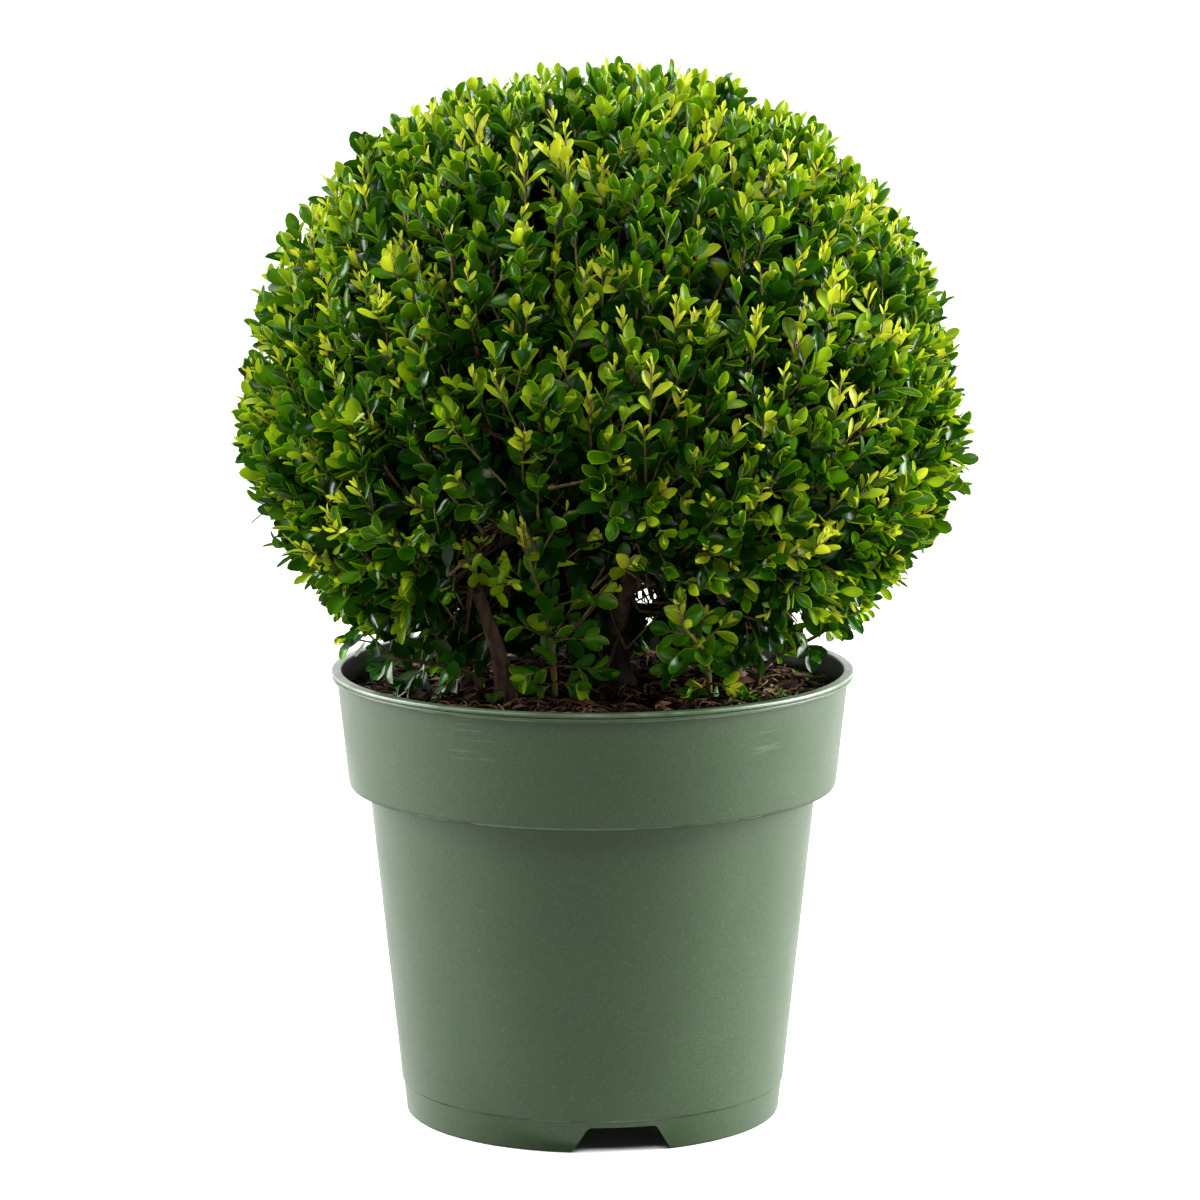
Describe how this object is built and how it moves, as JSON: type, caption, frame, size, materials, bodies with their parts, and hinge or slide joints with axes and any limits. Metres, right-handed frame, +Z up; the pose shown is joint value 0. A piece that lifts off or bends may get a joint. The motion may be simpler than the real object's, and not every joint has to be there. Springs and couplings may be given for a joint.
{
  "type": "potted holly ball",
  "caption": "Small-leaved evergreen holly clipped to a ball, on several stems, growing in a round green nursery pot with a deep collar and a notched foot.",
  "frame": {"origin": "middle of the pot's underside, on the plane of its foot ring", "axes": "+Z up, along the pot's axis; the front of the plant, with the left stem in view, faces -Y; +X is to the viewer's right"},
  "size_m": [0.3859, 0.38, 0.5681],
  "materials": {
    "pot_plastic": "satin moulded plastic, faintly scuffed",
    "potting_mix": "loose moist bark and peat",
    "bark": "smooth grey-brown bark",
    "foliage": "glossy leaves",
    "low_foliage": "glossy leaves in shade"
  },
  "bodies": {
    "root": {"pot": "pot_plastic", "potting_mix": "potting_mix", "trunk": "bark", "left_stem": "bark", "right_stem": "bark", "front_bough": "bark", "back_left_bough": "bark", "back_bough": "bark", "leader": "bark", "crown_front_left": "foliage", "crown_front": "foliage", "crown_right": "foliage", "crown_back": "foliage", "crown_back_left": "foliage", "crown_top": "foliage", "front_shoot": "low_foliage", "right_front_shoot": "low_foliage", "low_left_branch": "low_foliage", "low_right_branch": "low_foliage"}
  },
  "joints": []
}
